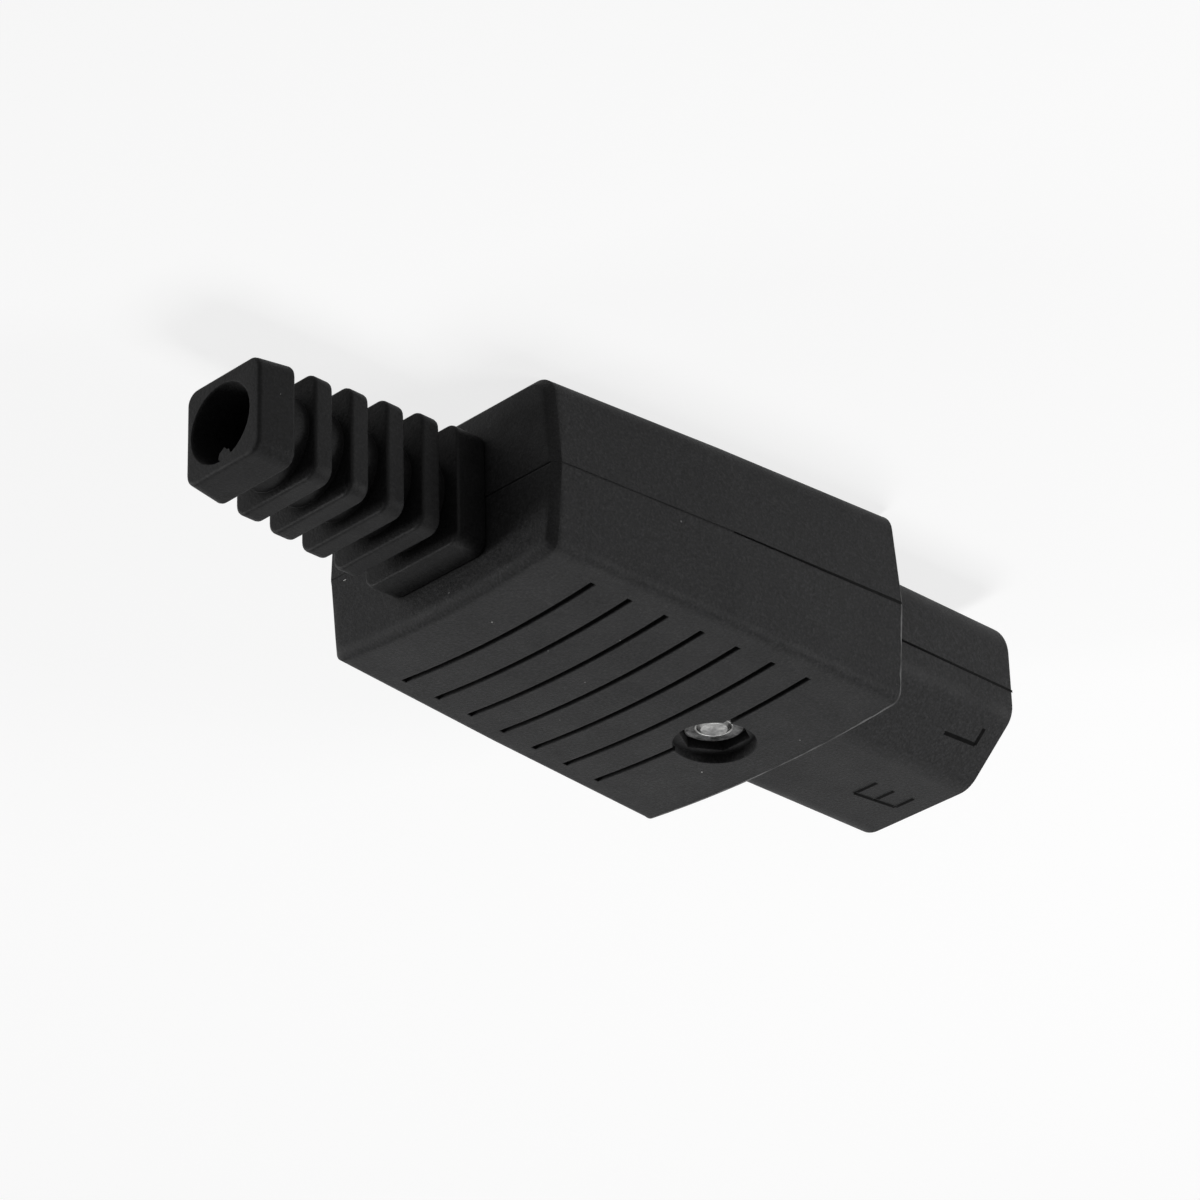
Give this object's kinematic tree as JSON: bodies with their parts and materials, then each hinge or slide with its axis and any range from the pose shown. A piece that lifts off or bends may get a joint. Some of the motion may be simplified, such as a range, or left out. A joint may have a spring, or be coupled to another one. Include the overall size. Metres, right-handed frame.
{
  "type": "rewirable iec connector",
  "caption": "Rewirable three-pole appliance connector with a keyed nose, two shells held by a screw and nut, and a ribbed square cord guard.",
  "frame": {"origin": "centre of the mating face at the end of the nose, on the plane where the two shells meet", "axes": "+X out of the mating face along the part's length, +Y across the width towards the live pole, +Z through the thickness towards the earth pole, the nut and the two cut corners"},
  "size_m": [0.0843, 0.0332, 0.0199],
  "materials": {
    "housing": "fine matte moulded texture",
    "flexible_guard": "satin flexible plastic",
    "clamp_plastic": "matte",
    "brass": "stamped and turned brass",
    "plated_steel": "zinc plated"
  },
  "bodies": {
    "root": {"upper_shell": "housing", "lower_shell": "housing", "cord_guard": "flexible_guard", "closing_screw": "plated_steel", "closing_nut": "plated_steel", "cord_clamp_bar": "clamp_plastic", "live_contact": "brass", "live_terminal": "brass", "live_terminal_screw": "plated_steel", "neutral_contact": "brass", "neutral_terminal": "brass", "neutral_terminal_screw": "plated_steel", "earth_contact": "brass", "earth_terminal": "brass", "earth_terminal_screw": "plated_steel", "cord_clamp_screw_left": "plated_steel", "cord_clamp_screw_right": "plated_steel"}
  },
  "joints": []
}
